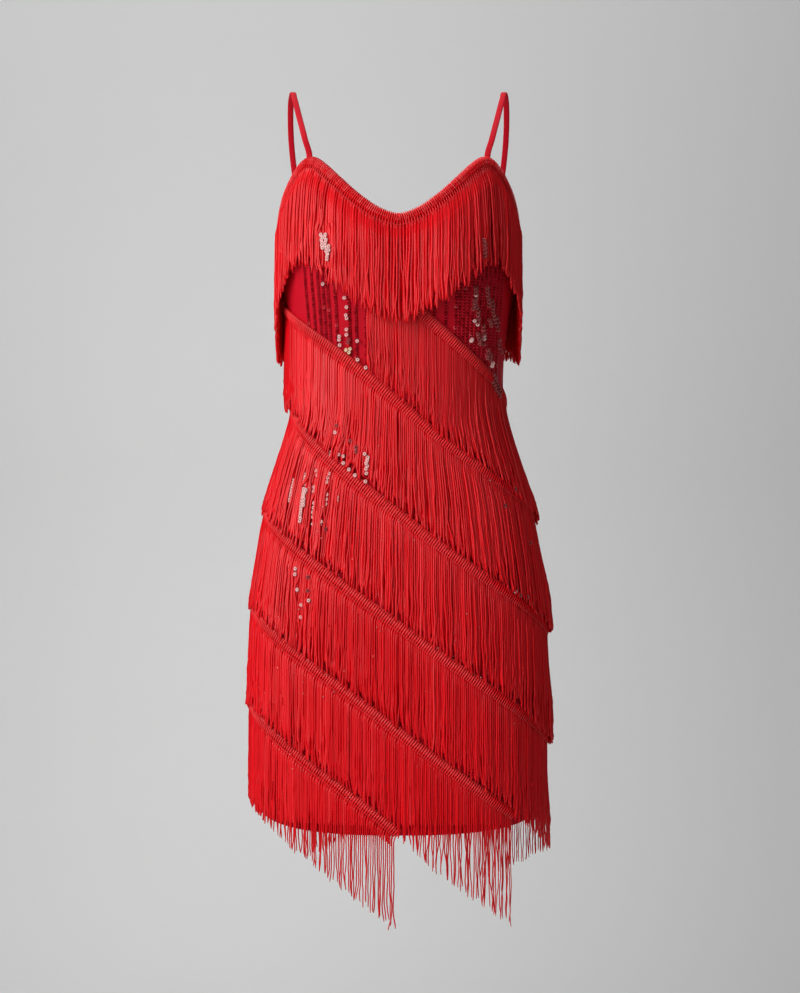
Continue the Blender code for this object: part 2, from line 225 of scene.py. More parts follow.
# %% Mesh helpers
def make_piece(name, points, quads, material, uv=None, caps=None, values=None):
    """Put corners, four-sided faces and end caps into a mesh that rides on the dress."""
    parts = [quads.reshape(-1, 4)] + ([] if caps is None else [caps])
    corners = np.concatenate([part.reshape(-1) for part in parts])
    sizes = np.concatenate([np.full(len(part), part.shape[1]) for part in parts])
    mesh = bpy.data.meshes.new(name)
    mesh.vertices.add(len(points))
    mesh.loops.add(len(corners))
    mesh.polygons.add(len(sizes))
    mesh.vertices.foreach_set("co", points.astype(np.float32).ravel())
    mesh.loops.foreach_set("vertex_index", corners.astype(np.int32))
    starts = np.concatenate([[0], np.cumsum(sizes)[:-1]])
    mesh.polygons.foreach_set("loop_start", starts.astype(np.int32))
    mesh.update(calc_edges=True)
    mesh.shade_smooth()
    if uv is not None:
        layer = mesh.uv_layers.new(name="UVMap")
        spare = np.zeros((len(corners) - len(uv), 2))
        layer.data.foreach_set("uv", np.concatenate([uv, spare]).astype(np.float32).ravel())
    for key, value in (values or {}).items():
        mesh.attributes.new(key, "FLOAT", "POINT").data.foreach_set("value", value.astype(np.float32))
    mesh.materials.append(material)
    piece = bpy.data.objects.new(name, mesh)
    bpy.context.scene.collection.objects.link(piece)
    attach(piece, "root")
    return piece


def grid_faces(rows, columns, first=0):
    """Four corners of each cell of a grid of points that is numbered row by row."""
    corner = first + np.arange(rows - 1)[:, None] * columns + np.arange(columns - 1)
    return np.stack([corner, corner + 1, corner + columns + 1, corner + columns], axis=-1).reshape(-1, 4)


def ring_faces(here, there):
    """Four corners of each face between rings of points and the rings that follow them."""
    return np.stack([here, np.roll(here, -1, -1), np.roll(there, -1, -1), there], axis=-1).reshape(-1, 4)


def sweep(paths, radii, facing, sides):
    """Rings of points round many paths at once.

    paths is (count, steps, 3), radii (count, steps), and facing the direction that each ring's first
    point leans to. A ring is the path's point plus radius times (cos a facing + sin a sideways), where
    sideways is at right angles to the path and to facing. Returns points, faces, caps and UV, whose u
    goes once round and whose v is the length along the path in metres.
    """
    count, steps = paths.shape[:2]
    along = unit(np.gradient(paths, axis=1))
    sideways = unit(np.cross(along, facing))
    lean = np.cross(sideways, along)
    angle = np.arange(sides) * 2 * math.pi / sides
    ring = np.cos(angle)[:, None] * lean[:, :, None] + np.sin(angle)[:, None] * sideways[:, :, None]
    points = paths[:, :, None] + radii[:, :, None, None] * ring
    number = np.arange(count * steps * sides).reshape(count, steps, sides)
    here, there = number[:, :-1], number[:, 1:]
    quads = ring_faces(here, there)[:, [0, 3, 2, 1]]
    caps = np.concatenate([number[:, 0], number[:, -1, ::-1]])
    length = run_lengths(paths, axis=1)
    u = np.arange(sides + 1) / sides
    low = np.broadcast_to(length[:, :-1, None], here.shape)
    high = np.broadcast_to(length[:, 1:, None], here.shape)
    left, right = np.broadcast_to(u[:-1], here.shape), np.broadcast_to(u[1:], here.shape)
    uv = np.stack([left, low, left, high, right, high, right, low], axis=-1).reshape(-1, 2)
    return points.reshape(-1, 3), quads, caps, uv


print("helpers: make_piece, grid_faces, ring_faces, sweep")

# %% [markdown]
# ## Yarn, knit and sequin finishes
# The fringe is rayon yarn: red, smooth and silky, with deep colour between the strands. Its twist is
# so fine that it only dulls the shine a little: a slanting wave on the strand's own UV. Its pale tones
# are a painted highlight on headings, stitches and binding, and the roots of the neck and back fringe
# have painted shade. The cloth is fine matt knit in a deeper red. The sequins are deep red plastic, with
# a painted highlight at the rim and painted shade at the hole, and a few catch the light with painted
# glints. Each finish is one Principled shader with small bumps.

# %% Material helpers
def new_finish(name, colour, roughness, **sockets):
    """A Principled material, and a function that adds a node with its inputs linked or set."""
    finish = bpy.data.materials.new(name)
    finish.use_nodes = True
    nodes, links = finish.node_tree.nodes, finish.node_tree.links
    shader = nodes["Principled BSDF"]
    settings = {"Base Color": (*colour, 1), "Roughness": roughness, **sockets}
    for socket, value in settings.items():
        shader.inputs[socket].default_value = value

    def add(kind, inputs=None, **options):
        node = nodes.new(kind)
        for key, value in options.items():
            setattr(node, key, value)
        for key, value in (inputs or {}).items():
            if isinstance(value, bpy.types.NodeSocket):
                links.new(value, node.inputs[key])
            else:
                node.inputs[key].default_value = value
        return node

    return finish, shader, add, links


def wave_of(add, uv, turns_round, per_metre):
    """Sine of 2 pi times (u times turns_round + v times per_metre)."""
    split = add("ShaderNodeSeparateXYZ", {0: uv})
    around = add("ShaderNodeMath", {0: split.outputs[0], 1: turns_round}, operation="MULTIPLY")
    lengthwise = add(
        "ShaderNodeMath", {0: split.outputs[1], 1: per_metre, 2: around.outputs[0]}, operation="MULTIPLY_ADD"
    )
    full = add("ShaderNodeMath", {0: lengthwise.outputs[0], 1: 2 * math.pi}, operation="MULTIPLY")
    return add("ShaderNodeMath", {0: full.outputs[0]}, operation="SINE").outputs[0]


def colour_ramp(add, attribute, colours):
    """Colours along a ramp that a piece's own attribute reads: {place: colour}, the two ends first."""
    ramp = add("ShaderNodeValToRGB", {0: add("ShaderNodeAttribute", attribute_name=attribute).outputs["Fac"]})
    stops = ramp.color_ramp.elements
    for place, colour in colours.items():
        (stops[place] if place in (0, 1) else stops.new(place)).color = (*colour, 1)
    return ramp.outputs[0]


print("helpers: new_finish, wave_of, colour_ramp")

# %% Yarn
# Along a strand, shade goes from deep red through bright red to pale pink, a painted highlight that
# the stitches, headings and binding get
yarn, shader, add, links = new_finish(
    "fringe_yarn", (0.80, 0.001, 0.003), 0.33, **{"Specular IOR Level": 0.34}
)
twist = wave_of(add, add("ShaderNodeTexCoord").outputs["UV"], 2, 190)
shades = {0: (0.62, 0.0006, 0.0040), 1: (0.95, 0.0700, 0.0750), 0.7: (0.90, 0.0040, 0.0110)}
links.new(colour_ramp(add, "shade", shades), shader.inputs["Base Color"])
bump = add("ShaderNodeBump", {"Height": twist, "Strength": 0.12, "Distance": 0.0002})
links.new(bump.outputs[0], shader.inputs["Normal"])

# %% Knit for the panels and the straps
knit, shader, add, links = new_finish(
    "stretch_knit", (0.50, 0.0006, 0.009), 0.65, **{"Specular IOR Level": 0.2}
)
uv = add("ShaderNodeTexCoord").outputs["UV"]
courses, wales = wave_of(add, uv, 0, 900), wave_of(add, uv, 1100, 0)
loops = add("ShaderNodeMath", {0: courses, 1: wales}, operation="MULTIPLY")
cloud = add("ShaderNodeTexNoise", {"Vector": add("ShaderNodeTexCoord").outputs["Object"], "Scale": 14.0})
tones = {"Factor": cloud.outputs[0], 6: (0.58, 0.0004, 0.0130, 1), 7: (0.74, 0.0008, 0.0180, 1)}
tone = add("ShaderNodeMix", tones, data_type="RGBA")
links.new(tone.outputs[2], shader.inputs["Base Color"])
bump = add("ShaderNodeBump", {"Height": loops.outputs[0], "Strength": 0.5, "Distance": 0.0002})
links.new(bump.outputs[0], shader.inputs["Normal"])

# %% Sequins
sequin, shader, add, links = new_finish(
    "sequin", (0.25, 0.0006, 0.010), 0.35,
    **{"Specular IOR Level": 0.6, "Specular Tint": (1, 0.12, 0.12, 1)}
)
# Ramp of painted light: towards 0 the hole has painted shade, about 0.36 the rim has a painted highlight in
# bright red, and 1 is a painted rose glint
glints = {0: (0.16, 0.0001, 0.003), 1: (0.95, 0.30, 0.28), 0.12: (0.18, 0.0001, 0.003),
          0.36: (0.95, 0.005, 0.036)}
links.new(colour_ramp(add, "glint", glints), shader.inputs["Base Color"])
# Ramp for sequins that shine: rose and pale pink are painted glints, 1 is gold, and towards 0 the hole has
# painted shade
sequin_painted_glint, shader, add, links = new_finish("sequin_painted_glint", (1.0, 0.80, 0.76), 0.35)
glints = {0: (0.20, 0.0005, 0.008), 1: (0.95, 0.68, 0.22), 0.15: (0.30, 0.010, 0.016),
          0.25: (1.0, 0.36, 0.34), 0.5: (1.0, 0.82, 0.78)}
links.new(colour_ramp(add, "glint", glints), shader.inputs["Base Color"])
print("finishes:", ", ".join(m.name for m in (yarn, knit, sequin, sequin_painted_glint)))

# %% [markdown]
# ## The cloth panels
# Front and back are open sheets of a grid: turn across, and height from hem to top edge. A few soft
# troughs cross them where the cloth is pulled. They go inwards only, because the bands of fringe are
# sewn on top. Solidify gives the sheet its thickness, inwards from the outer face.

# %% Panels
CLOTH_THICK = 0.0011
PANEL_COLUMNS, PANEL_ROWS = 97, 131
# turn and height of the trough's middle, its depth, its half length round, its half height, its slant
TROUGHS = np.array([
    [-38, -0.806, 0.0012, 24, 0.008, 0.0003], [30, -0.812, 0.0010, 20, 0.007, -0.0004],
    [-72, -0.352, 0.0014, 20, 0.007, 0.0006], [70, -0.338, 0.0012, 18, 0.006, -0.0006],
    [-15, -0.330, 0.0008, 16, 0.008, 0.0002], [80, -0.640, 0.0010, 16, 0.009, 0.0004],
    [150, -0.345, 0.0014, 22, 0.007, 0.0005], [215, -0.358, 0.0012, 20, 0.006, -0.0005],
    [180, -0.802, 0.0012, 26, 0.008, 0.0002], [240, -0.700, 0.0010, 18, 0.009, -0.0003]])


def trough_depth(turn, height):
    """Sum of soft hollows: depth times a bell across its height and a bell along its length."""
    total = np.zeros(np.broadcast(turn, height).shape)
    for middle, level, depth, length, breadth, slant in TROUGHS:
        along = (turn - middle) / length
        across = (height - level - slant * (turn - middle)) / breadth
        total = total + depth * np.exp(-(along**2) - across**2)
    return total


def make_panel(name, centre, edge):
    """A grid from seam to seam and hem to edge, on the cloth's outer face less its troughs.

    Returns the piece and the size of its cut: the widest level line, the longest line from hem to edge,
    and the area, which is half the cross product of the diagonals, summed over the grid's faces.
    """
    turn = np.linspace(-QUARTER, QUARTER, PANEL_COLUMNS)
    up = np.linspace(0, 1, PANEL_ROWS)[:, None]
    height = hem_height(turn) + (edge_height(edge, turn) - hem_height(turn)) * up
    points = on_cloth(centre + turn, height, -trough_depth(centre + turn, height))
    u = run_lengths(points, axis=1)
    flat = np.stack([u, np.broadcast_to(height, u.shape)], axis=-1).reshape(-1, 2)
    quads = grid_faces(PANEL_ROWS, PANEL_COLUMNS)
    piece = make_piece(name, points.reshape(-1, 3), quads, knit, uv=flat[quads.reshape(-1)])
    shell = piece.modifiers.new("Solidify", "SOLIDIFY")
    shell.thickness = CLOTH_THICK
    shell.offset = -1
    level = np.linspace(HEM_LOW, edge_height(edge, turn).min(), PANEL_ROWS)[:, None]
    widths = np.linalg.norm(np.diff(on_cloth(centre + turn, level + 0 * turn), axis=1), axis=-1).sum(axis=1)
    lengths = np.linalg.norm(np.diff(points, axis=0), axis=-1).sum(axis=0)
    one_way, other_way = points[1:, 1:] - points[:-1, :-1], points[1:, :-1] - points[:-1, 1:]
    area = np.linalg.norm(np.cross(one_way, other_way), axis=-1).sum() / 2
    return piece, float(widths.max()), float(lengths.max()), float(area)


front_cloth, front_width, front_length, front_area = make_panel("cloth_front", 0, FRONT_EDGE)
back_cloth, back_width, back_length, back_area = make_panel("cloth_back", 180, BACK_EDGE)
for piece, node in ((front_cloth, "front_panel"), (back_cloth, "back_panel")):
    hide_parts(node)
print(f"front {front_width:.3f} x {front_length:.3f} m, {front_area:.3f} m2")
print(f"back {back_width:.3f} x {back_length:.3f} m, {back_area:.3f} m2")

# %% [markdown]
# ## Where a band of fringe goes
# A band is a tape that the strands are stitched to, so the strands cross it at right angles and only then
# turn down and hang. To place them, a band is measured along its own run: evenly spaced places on its
# middle line, and for each one the slant at which its strand crosses the tape.

# %% Places along a band
BAND_WIDTH = 0.0125
STRAND_LENGTH = 0.1200
# A neck or back band's top is this far below the cloth's edge
EDGE_DROP = 0.0008
# From strand to strand: on a spiral, and on the coarser fringe of the neck and back
PITCH, EDGE_PITCH = 0.0029, 0.0032


def band_places(middle_of, start, end, pitch):
    """Turns and heights evenly spaced along a band, how far one degree goes, and the strand's slant.

    The slant is the angle from straight down, in the cloth, of the line at right angles to the band.
    """
    fine = np.linspace(start, end, 2000)
    line = on_cloth(fine, middle_of(fine))
    along = run_lengths(line)
    places = np.arange(pitch / 2, along[-1], pitch)
    turn = np.interp(places, along, fine)
    height = middle_of(turn)
    reach = np.linalg.norm(on_cloth(turn + 0.5, height) - on_cloth(turn - 0.5, height), axis=-1)
    fall = (middle_of(turn + 0.5) - middle_of(turn - 0.5)) / reach
    return turn, height, reach, np.arctan(fall)


def half_band(middle_of, turn):
    """Half of a band's height, measured straight up and down at a slanting stretch."""
    ahead, behind = on_cloth(turn + 1, middle_of(turn + 1)), on_cloth(turn - 1, middle_of(turn - 1))
    rise = middle_of(turn + 1) - middle_of(turn - 1)
    return BAND_WIDTH / 2 * np.sqrt(1 + (rise / np.linalg.norm(ahead - behind, axis=-1)) ** 2)


def next_band_top(turn, height):
    """Top edge of the highest spiral that crosses each turn below each height, or far below."""
    tops = np.full(turn.shape, -2.0)
    for spiral in SPIRALS.values():
        for rounds in (-1, 0, 1, 2):
            crossing = turn + 360 * rounds
            middle = spiral_height(spiral, crossing)
            inside = (crossing > spiral[0]) & (crossing < spiral[1]) & (middle < height - BAND_WIDTH)
            top = middle + half_band(lambda t: spiral_height(spiral, t), crossing)
            tops = np.where(inside, np.maximum(tops, top), tops)
    return tops


def edge_middle(edge, centre):
    """A band's middle just under a top edge, as a function of turn."""
    def top(turn):
        return edge_height(edge, np.clip(turn - centre, -QUARTER, QUARTER)) - EDGE_DROP
    return lambda turn: top(turn) - half_band(top, turn)


BANDS = {
    "fringe_neck": (edge_middle(FRONT_EDGE, 0), -89.7, 89.7, True),
    "fringe_back_top": (edge_middle(BACK_EDGE, 180), 90.3, 269.7, True),
}
for name, spiral in SPIRALS.items():
    BANDS[name] = (lambda turn, spiral=spiral: spiral_height(spiral, turn), spiral[0], spiral[1], False)
total = 0
for middle, start, end, over in BANDS.values():
    total += len(band_places(middle, start, end, EDGE_PITCH if over else PITCH)[0])
print(f"{len(BANDS)} bands, {total} strands")

# %% [markdown]
# ## Sequins that catch the light
# Most sequins are dark, but some on the front face the light and show whole: strings of them, singles,
# and one gold group at the waist. Their pale pink and rose colours are painted glints. They are listed
# as runs, by their places on the front in millimetres, because the strands have to part round them. A run
# on bare cloth parts nothing.

# %% Bright sequins
# Finishes. PALE and ROSE are painted glints, pale pink and rose. SUNK ones are painted pale too, but
# lie deep, so that slivers of them show
PALE, SUNK, ROSE, GOLD = 0.5, 0.45, 0.25, 1.0
# A run's first side and height, its last side and height (mm), how many sequins, and their finish. A
# single sequin has only its place and finish
BRIGHT = [
    (-86, -174.6, -84, -189.4, 6, PALE), (-82, -175, -78.8, -202, 10, PALE),
    (-77.9, -188, -78.3, -196.5, 3, PALE), (-83.9, -227.9, PALE), (-58.8, -243.3, PALE),
    (-57.3, -253.5, PALE), (-58, -262, -58, -265.3, 2, PALE), (-57.7, -277.5, -57.8, -283.2, 2, PALE),
    (-55.5, -288.5, -56.7, -291.7, 2, ROSE), (-65.8, -285, -65.6, -288.7, 2, PALE), (-65.4, -294.5, PALE),
    (-46.3, -290.3, PALE), (-46.4, -310.9, PALE), (-36.2, -319.7, PALE),
    (-57.3, -299.9, -53.9, -298.9, 2, GOLD), (-55.1, -302.7, GOLD), (-69.3, -383.7, ROSE),
    (-69.9, -391.5, PALE), (-53.6, -401.1, ROSE), (-47, -408.4, -47, -413.4, 2, ROSE),
    (-76.4, -413.2, -76.4, -417.2, 2, SUNK), (-67.2, -416.1, PALE), (-62.2, -418.1, PALE),
    (-62, -425.7, PALE), (-54.9, -432.9, PALE), (-48.1, -439.3, PALE), (-37.6, -415.7, PALE),
    (-34.4, -419.6, -35.5, -432.3, 5, PALE), (-34.6, -437.3, PALE), (-37.5, -446.2, PALE),
    (-118.7, -444.6, -122.6, -467.4, 8, SUNK), (-105.1, -438.2, -105.7, -448.9, 4, SUNK),
    (-106.3, -454.5, -110.6, -490.3, 13, PALE), (-104, -455.6, -106.7, -472.4, 6, PALE),
    (-98.5, -452.8, -98.5, -456.7, 2, SUNK), (-94.3, -452.3, -94.3, -456.7, 2, SUNK),
    (-91.8, -433.8, -91.5, -438.9, 2, SUNK), (-77.4, -437.3, -79.2, -446.7, 3, SUNK),
    (-80, -460.6, -80.4, -471.2, 3, SUNK), (-67.2, -463.4, -67.7, -466.8, 2, SUNK),
    (-94.9, -470.1, -95.3, -485.7, 4, SUNK), (-95.7, -493.5, SUNK), (-86.2, -490.7, SUNK),
    (-81.2, -499, ROSE), (-123.1, -539.5, SUNK), (-115.7, -543.5, PALE), (-115.8, -549.6, PALE),
    (-112.1, -566.8, PALE), (-99.6, -578.4, PALE), (-101.3, -552.5, -100.5, -567.5, 2, ROSE),
    (-108.8, -583.6, -108.6, -597.1, 2, SUNK), (95.6, -180, 95.9, -197.2, 5, ROSE), (85.3, -239.7, PALE),
    (84.4, -267.4, PALE), (88.4, -271.1, PALE), (81.1, -289.4, 83.1, -287.8, 2, PALE),
    (96.9, -282.9, 96.5, -286.5, 2, PALE), (95.3, -292.6, ROSE), (99.9, -304.5, 100, -307.3, 2, ROSE),
    (106.2, -313, 106.3, -316.2, 2, PALE), (86, -231.6, 86.6, -238, 3, ROSE),
    (85.5, -243.5, 87.4, -253.1, 4, ROSE), (84.4, -244.6, 84.5, -254.3, 4, ROSE),
    (89.7, -257.3, 89.2, -268.2, 4, ROSE), (95.6, -272.3, 96.3, -281, 3, ROSE),
    (88.8, -281.4, 91.2, -290.1, 4, ROSE), (93.4, -284.4, 91.2, -292.3, 3, ROSE),
    (100.5, -298.4, 104.1, -309.3, 5, ROSE), (98.5, -230.8, 101.7, -250.1, 6, ROSE),
    (104.5, -244.4, 108.3, -267, 7, ROSE), (110.6, -262.4, 112, -275.4, 4, ROSE),
    (102.5, -265.2, 104.9, -271.6, 3, ROSE), (113.4, -286.3, 116, -299.3, 4, ROSE),
    (107.7, -325.8, 116.3, -344.3, 7, ROSE), (106, -333.8, 114.4, -349, 6, ROSE), (130.3, -569.2, PALE),
    (136.9, -573.3, 144.4, -575.8, 2, ROSE), (150.2, -583.4, ROSE), (149.4, -515.2, ROSE),
    (118.6, -473.1, ROSE), (132, -454.4, ROSE),
]
BRIGHT = np.array([run if len(run) == 6 else (*run[:2], *run[:2], 1, run[2]) for run in BRIGHT])
# A parting's first side and height, its last side and height unless they are the same, and the half
# width kept free (mm)
PARTINGS = [
    (-83, -172, -80, -203, 4.6), (-58.8, -243, -57.5, -266, 3), (-46.3, -290, -46.4, -311, 2.7),
    (-36.2, -319.7, 3), (-69.5, -383.7, -69.9, -392, 2.4), (-53.6, -401, 1.7),
    (-47, -408.4, -47, -413.4, 1.9), (-76.4, -413, -76.4, -417, 2.2), (-64.5, -415, -62.5, -427, 4.4),
    (-54.9, -432.9, 3), (-48.1, -439.3, 2.7), (-36.6, -415.7, -35.3, -438, 3.1), (-37.5, -446.2, 3),
    (-118.7, -444.6, -122.6, -467.4, 1.9), (-105.2, -438.2, -105.7, -448.9, 2.2),
    (-105.2, -454, -108.8, -490.3, 3.6), (-96.5, -452.5, -96.5, -457, 2.3),
    (-91.8, -433.8, -91.5, -438.9, 1.7), (-77.4, -437.3, -79.2, -446.7, 2),
    (-80, -460.6, -80.4, -471.2, 2), (-67.2, -463.4, -67.7, -466.8, 1.7),
    (-94.9, -470.1, -95.7, -493.5, 1.9), (-86.2, -490.7, 1.7), (-81.2, -499, 1.5), (-123.1, -539.5, 2),
    (-115.7, -543.5, -115.8, -549.6, 3), (-112.1, -566.8, 3), (-99.6, -578.4, 3),
    (-101.3, -552.5, -100.5, -567.5, 1.5), (-108.8, -583.6, -108.6, -597.1, 2),
    (95.6, -180, 95.9, -197.2, 2.5),
]
PARTINGS = np.array([gap if len(gap) == 5 else (*gap[:2], *gap[:2], gap[2]) for gap in PARTINGS])
# How far past its sequins a parting stays open, and over what height it then closes (mm)
OPEN_PAST, SOFT = 3.0, 9.0
print(f"{len(BRIGHT)} runs, {BRIGHT[:, 4].sum():.0f} sequins, {len(PARTINGS)} partings")

# %% [markdown]
# ## The strands
# A strand is a tube on a path: across the tape, round a short bend, then down. It follows the cloth, and
# where the body falls away under the bust and waist it hangs straight from the last place it touched.
# Real fringe is never even, so each strand gets its own small waves, which grow towards its tip, a lean
# towards the middle of its clump, and a length a few millimetres off. Some neighbours are one uncut loop.
# A second layer lies behind, so that gaps between strands show yarn in shade, as in thick fringe.

# %% Strand sizes
# Lengths from the tape's top edge at which a strand's path has a point. From DRAPE_STEP on it hangs free
# of the body, and from STRETCH_STEP on its steps stretch to its length
STEPS = np.array([0, 3, 7, 12, 17, 21, 30, 40, 50, 60, 70, 80, 90, 100, 109, 116, 120]) / 1000
DRAPE_STEP, STRETCH_STEP = 3, 5
SIDES = 4
TAPE_TOP = 0.0012
# The fringe of an edge is coarser and turns down below its narrow binding, that of a row below its wide
# heading. Lean is the most of the way to its clump's middle that a strand goes
Kind = namedtuple("Kind", "pitch radius head lean drift sway")
EDGE = Kind(EDGE_PITCH, radius=0.00138, head=0.0065, lean=0.45, drift=0.0009, sway=0.85)
ROW = Kind(PITCH, radius=0.00128, head=0.0112, lean=0.30, drift=0.0006, sway=0.70)
BEND_LENGTH, HEAD_RISE, EDGE_RISE = 0.0065, 0.0012, 0.0040
# Lengths: their spread, and by how much and how often one is short
LENGTH_SPREAD, SHORT_BY, SHORT_SHARE = 0.0017, 0.004, 0.10
# Rows are longer on the +X side, and more so at its flank above the hips. The last row is shorter
SIDE_LONGER, FLANK_LONGER, HIP_LEVEL = 0.012, 0.006, -0.52
LAST_LEVEL, LAST_SHORTER_LEFT, LAST_SHORTER_RIGHT = -0.80, 0.007, 0.002
# How far tips reach over the next band, how much further at the flank, and their spread
OVER_NEXT, FLANK_OVER, OVER_MORE, OVER_SPREAD = 0.45 * BAND_WIDTH, 0.013, 0.0005, 0.0014
# Strands lie in this many layers, this far apart
LAYERS, LAYER_STEP = 4, 0.0006
# At the flanks they stand out a little, and more so on the +X side below this height
FLANK_OUT, SIDE_LIFT, SIDE_LIFT_FROM = 0.0012, 0.0038, -0.42
# Size and period of a strand's waves, and the spread of the curl at its tip
WAVES, CURL = ((0.0011, 0.061), (0.0007, 0.034), (0.0005, 0.021)), 0.0018
# One pair of neighbours in this many is a loop, whose last steps are drawn together by these shares
LOOP_EVERY, LOOP_CLOSES = 4, (0.10, 0.35, 0.80, 1.0)
# The second layer is wider apart, thicker, deeper and shorter, ends above the hem, starts below the tape
UNDER_WIDER, UNDER_THICKER, UNDER_DEEPER, UNDER_SHORTER = 1.3, 1.55, 0.0013, 0.006
UNDER_ABOVE_HEM, UNDER_LEAST, UNDER_STEP = 0.004, 0.024, 3


def ease(value):
    """Smooth step: 0 below 0, 1 above 1, and 3 v^2 - 2 v^3 between."""
    value = np.clip(value, 0, 1)
    return value * value * (3 - 2 * value)


def near_flank(turn):
    """0 over the front and back, rising to 1 where the dress turns out of sight."""
    return ease((abs(np.sin(np.radians(turn))) - 0.94) / 0.05)


print(f"{len(STEPS)} steps to a strand, {SIDES * (len(STEPS) - 1) + 2} faces")

# %% Lengths and loops
def strand_lengths(turn, height, over, under):
    """Length of each strand, and whether it is half of a loop.

    A row's tips end just over the next band, so its length is the least of its own and of the room to
    that band's top.
    """
    count = len(turn)
    length = STRAND_LENGTH + rng.normal(0, LENGTH_SPREAD, count)
    length -= SHORT_BY * (rng.random(count) < SHORT_SHARE)
    across = np.sin(np.radians(turn))
    if not over:
        flank = np.where(across > 0, ease((across - 0.78) / 0.18), near_flank(turn))
        length += SIDE_LONGER * ease((across + 0.1) / 0.5)
        length += FLANK_LONGER * flank * (height > HIP_LEVEL) * (across > 0)
        trim = np.where(across < 0, LAST_SHORTER_LEFT, LAST_SHORTER_RIGHT)
        length -= trim * (height - length < LAST_LEVEL)
        room = height - next_band_top(turn, height) + OVER_NEXT + FLANK_OVER * flank
        length = np.minimum(length, room + rng.normal(OVER_MORE, OVER_SPREAD, count))
    if under:
        shorter = length - UNDER_SHORTER - rng.uniform(0, UNDER_SHORTER, count)
        length = np.maximum(np.minimum(shorter, height - HEM_LOW - UNDER_ABOVE_HEM), UNDER_LEAST)
    pairs = count // 2
    looped = np.repeat(rng.random(pairs) < (0 if under else 1 / LOOP_EVERY), 2)
    shared = np.repeat(length[:2 * pairs].reshape(-1, 2).mean(axis=1), 2)
    length[:2 * pairs] = np.where(looped, shared, length[:2 * pairs])
    return length, looped


print("helper: strand_lengths")

# %% The line of a strand
def strand_line(place, length, head):
    """Lengths along each strand, and its turns and heights in the cloth.

    The slant eases from across the band to straight down at the bend. Its sine and cosine, summed over
    the steps, give how far the strand goes sideways and down.
    """
    turn, height, reach, slant = (value[:, None] for value in place)
    fixed = STEPS[STRETCH_STEP]
    stretch = (length[:, None] - fixed) / (STEPS[-1] - fixed)
    along = np.where(STEPS > fixed, fixed + (STEPS - fixed) * stretch, STEPS)
    ahead = slant * (1 - ease((along - head) / BEND_LENGTH))
    step, mean_slant = np.diff(along, axis=1), (ahead[:, 1:] + ahead[:, :-1]) / 2
    sideways, down = (
        np.pad(np.cumsum(part(mean_slant) * step, axis=1), ((0, 0), (1, 0))) - part(slant) * BAND_WIDTH / 2
        for part in (np.sin, np.cos)
    )
    return along, turn + sideways / reach, height - down


def strand_out(turn, along, heights, kind, radius, hanging, low, over, under):
    """How far a strand's middle is off the cloth: on its tape, over its heading's arch, then hanging."""
    flank = near_flank(turn)[:, None]
    layer = rng.integers(0, LAYERS, len(turn))[:, None] * LAYER_STEP * (1 - 0.6 * flank)
    if over:
        sunk = radius * (0.8 - 0.8 * ease((0.0075 - along) / 0.003))
        out = TAPE_TOP + sunk + (layer + EDGE_RISE * (1 - 0.8 * flank)) * hanging
    else:
        arch = HEAD_RISE * np.sin(math.pi * np.clip(along / kind.head, 0, 1))
        tip = 0.0010 * ease((along - along[:, -1:] + 0.014) / 0.014)
        out = TAPE_TOP + radius * 0.8 + arch + tip + layer * hanging
        wider = SIDE_LIFT * ease((SIDE_LIFT_FROM - heights) / 0.08) * (np.sin(np.radians(turn)) > 0)[:, None]
        out = out + (FLANK_OUT + wider) * flank * low
    return out - UNDER_DEEPER - layer * hanging if under else out


print("helpers: strand_line, strand_out")

# %% How a strand strays
def clump_lean(count, most):
    """For each strand, how many places it leans to the middle of its own clump of 2 to 5 neighbours."""
    ends = np.cumsum(rng.integers(2, 6, count))
    ends = ends[ends < count]
    group = np.searchsorted(ends, np.arange(count), side="right")
    middle = np.bincount(group, np.arange(count)) / np.bincount(group)
    pull = rng.uniform(0.0, most, group.max() + 1)
    return (middle[group] - np.arange(count)) * pull[group]


def strand_sway(along, kind, pitch, hanging, low, under):
    """How far a strand strays sideways and outwards: sums of sine waves, a curl, a lean and a drift."""
    count = len(along)
    wave, depth_wave = np.zeros_like(along), np.zeros_like(along)
    for size, period in WAVES:
        phase = rng.uniform(0, 2 * math.pi, (2, count, 1))
        share = rng.uniform(0.2, 1.0, (2, count, 1)) * size
        wave = wave + share[0] * np.sin(2 * math.pi * along / period + phase[0])
        depth_wave = depth_wave + share[1] * np.sin(2 * math.pi * along / period + phase[1])
    curl = ease((along - 0.092) / 0.030) * rng.normal(0, CURL, (count, 1))
    lean = clump_lean(count, kind.lean)[:, None] * pitch * low
    drift = rng.normal(0, kind.drift, (count, 1)) * low
    amount = kind.sway * (0.5 if under else 1.0)
    sway = amount * wave * (0.35 * hanging + 0.65 * low) + amount * curl + lean + drift
    return sway, np.abs(depth_wave) * low


